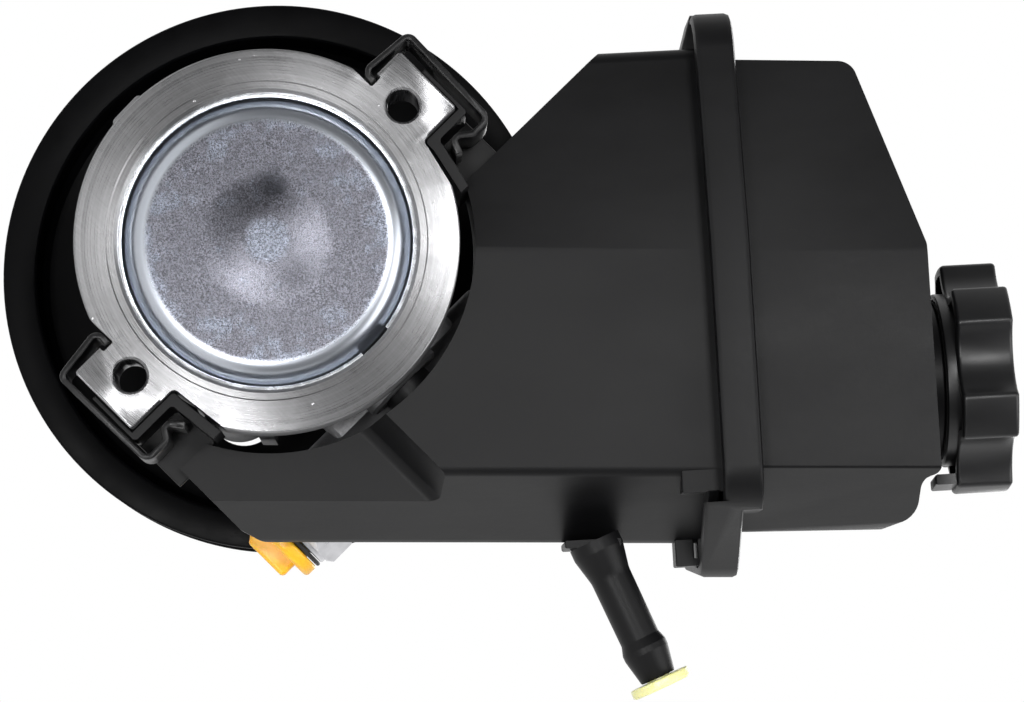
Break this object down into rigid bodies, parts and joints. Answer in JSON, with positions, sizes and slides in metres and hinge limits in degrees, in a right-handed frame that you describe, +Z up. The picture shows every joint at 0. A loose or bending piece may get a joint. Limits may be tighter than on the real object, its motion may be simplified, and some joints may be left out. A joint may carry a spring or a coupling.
{
  "type": "power steering pump",
  "caption": "Vane pump with a machined rear ring, clip ears and a belt pulley, under a two-part moulded fluid reservoir with a lobed filler cap and a hose tube.",
  "frame": {"origin": "on the drive shaft's axis, in the plane of the front mounting bosses", "axes": "+Y along the shaft towards the pulley, +Z up along the filler cap's axis, +X to the left of a viewer who faces the pulley"},
  "size_m": [0.1985, 0.121, 0.2698],
  "materials": {
    "cast_aluminium": "machined and die-cast",
    "zinc_plated_steel": "bright zinc",
    "ground_steel": "ground",
    "black_spring_steel": "black phosphate",
    "black_painted_steel": "satin black paint",
    "sintered_iron": "sintered",
    "bearing_bronze": "turned",
    "black_rubber": "matt",
    "black_nylon": "moulded satin",
    "orange_plastic": "moulded",
    "pale_plastic": "moulded, slightly translucent"
  },
  "bodies": {
    "pump": {"pump_housing": "cast_aluminium", "end_cover": "zinc_plated_steel", "end_cover_retaining_ring": "zinc_plated_steel", "end_cover_o_ring": "black_rubber", "shaft_bearing": "bearing_bronze", "shaft_seal": "black_rubber", "pump_ring": "sintered_iron", "thrust_plate": "sintered_iron", "pressure_plate": "sintered_iron", "pressure_plate_o_ring": "black_rubber", "pressure_plate_spring": "ground_steel", "dowel_pin_1": "ground_steel", "dowel_pin_2": "ground_steel", "flow_control_spring": "ground_steel", "outlet_fitting": "zinc_plated_steel", "outlet_o_ring": "black_rubber", "reservoir_body": "black_nylon", "reservoir_inlet_o_ring": "black_rubber", "reservoir_cover": "black_nylon", "upper_clip": "black_spring_steel", "lower_clip": "black_spring_steel"},
    "shaft": {"drive_shaft": "ground_steel", "pulley": "black_painted_steel", "rotor": "ground_steel", "rotor_retaining_ring": "ground_steel", "vane_01": "ground_steel", "vane_02": "ground_steel", "vane_03": "ground_steel", "vane_04": "ground_steel", "vane_05": "ground_steel", "vane_06": "ground_steel", "vane_07": "ground_steel", "vane_08": "ground_steel", "vane_09": "ground_steel", "vane_10": "ground_steel"},
    "valve": {"flow_control_valve": "ground_steel"},
    "seal": {"cap_seal": "black_rubber"},
    "cap": {"filler_cap": "black_nylon", "dipstick": "black_nylon"},
    "port_plug": {"pressure_port_plug": "orange_plastic", "port_plug_gasket": "black_rubber"},
    "tube_plug": {"return_tube_plug": "pale_plastic"}
  },
  "joints": [
    {"name": "shaft_spin", "type": "hinge", "parent": "pump", "child": "shaft", "pos_m": [0, 0, 0], "axis": [0, 1, 0], "continuous": true},
    {"name": "valve_slide", "type": "slide", "parent": "pump", "child": "valve", "axis": [-0.6691, 0, 0.7431], "range_m": [0, 0.008], "stiffness_N_per_m": 400, "springref_m": -0.01, "deforming": ["flow_control_spring"]},
    {"name": "cap_lift", "type": "slide", "parent": "pump", "child": "seal", "axis": [0, 0, 1], "range_m": [0, 0.09]},
    {"name": "cap_turn", "type": "hinge", "parent": "seal", "child": "cap", "pos_m": [0.0415, -0.022, 0.1777], "axis": [0, 0, 1], "range_deg": [0, 90]},
    {"name": "port_plug_pull", "type": "slide", "parent": "pump", "child": "port_plug", "axis": [0.6691, 0, -0.7431], "range_m": [0, 0.02]},
    {"name": "tube_plug_pull", "type": "slide", "parent": "pump", "child": "tube_plug", "axis": [0.9272, 0, 0.3746], "range_m": [0, 0.02]}
  ]
}
